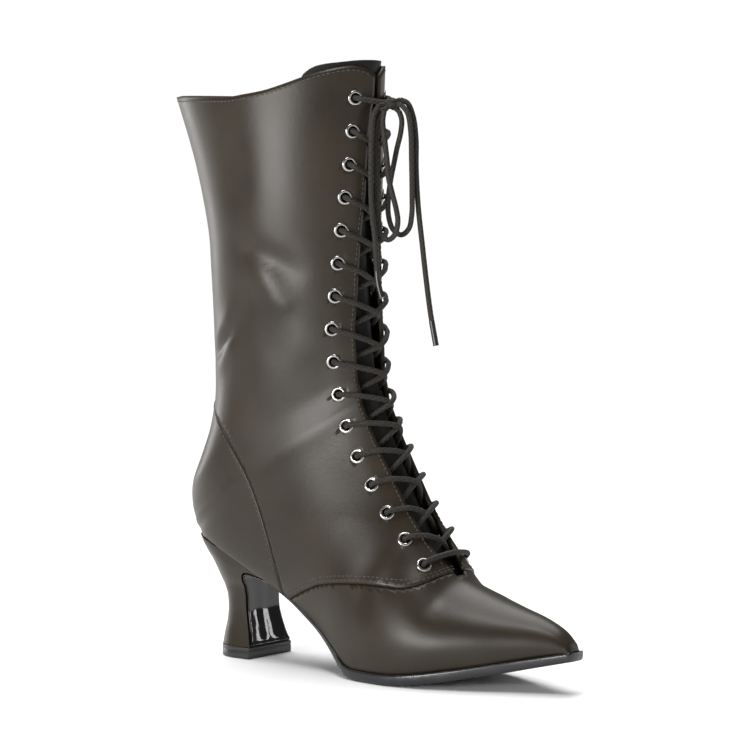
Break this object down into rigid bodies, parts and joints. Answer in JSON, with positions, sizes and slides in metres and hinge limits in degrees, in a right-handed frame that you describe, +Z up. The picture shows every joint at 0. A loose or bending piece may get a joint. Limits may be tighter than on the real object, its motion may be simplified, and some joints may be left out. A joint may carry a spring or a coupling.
{
  "type": "lace-up boot",
  "caption": "Calf-high lace-up boot for the right foot with a snipped pointed toe, waisted block heel, eyelet facings and a cord lace tied in a bow.",
  "frame": {"origin": "centre of the heel lift's ground face, on the floor", "axes": "+X forward to the toe, +Y to the wearer's left (the inner side of the right foot), +Z up"},
  "size_m": [0.2672, 0.0838, 0.3339],
  "materials": {
    "leather": "satin smooth faux leather, dark brown",
    "lining": "matte lining, dark brown",
    "sole_edge": "satin black",
    "patent": "high gloss black",
    "rubber": "matte black",
    "nickel": "polished",
    "cord": "round braided cord, dark brown"
  },
  "bodies": {
    "root": {"upper": "leather", "outsole": "sole_edge", "insole": "lining", "tongue": "leather", "heel_block": "leather", "heel_breast": "patent", "heel_lift": "rubber", "eyelet_outer_1": "nickel", "eyelet_outer_2": "nickel", "eyelet_outer_3": "nickel", "eyelet_outer_4": "nickel", "eyelet_outer_5": "nickel", "eyelet_outer_6": "nickel", "eyelet_outer_7": "nickel", "eyelet_outer_8": "nickel", "eyelet_outer_9": "nickel", "eyelet_outer_10": "nickel", "eyelet_outer_11": "nickel", "eyelet_outer_12": "nickel", "eyelet_outer_13": "nickel", "eyelet_outer_14": "nickel", "eyelet_outer_15": "nickel", "eyelet_outer_16": "nickel", "eyelet_inner_1": "nickel", "eyelet_inner_2": "nickel", "eyelet_inner_3": "nickel", "eyelet_inner_4": "nickel", "eyelet_inner_5": "nickel", "eyelet_inner_6": "nickel", "eyelet_inner_7": "nickel", "eyelet_inner_8": "nickel", "eyelet_inner_9": "nickel", "eyelet_inner_10": "nickel", "eyelet_inner_11": "nickel", "eyelet_inner_12": "nickel", "eyelet_inner_13": "nickel", "eyelet_inner_14": "nickel", "eyelet_inner_15": "nickel", "eyelet_inner_16": "nickel", "lace_bar": "cord", "lace_cross_1": "cord", "lace_cross_2": "cord", "lace_cross_3": "cord", "lace_cross_4": "cord", "lace_cross_5": "cord", "lace_cross_6": "cord", "lace_cross_7": "cord", "lace_cross_8": "cord", "lace_cross_9": "cord", "lace_cross_10": "cord", "lace_cross_11": "cord", "lace_cross_12": "cord", "lace_cross_13": "cord", "lace_cross_14": "cord", "lace_knot": "cord", "lace_loop_front": "cord", "lace_loop_side": "cord", "lace_end_inner": "cord", "lace_end_outer": "cord"}
  },
  "joints": []
}
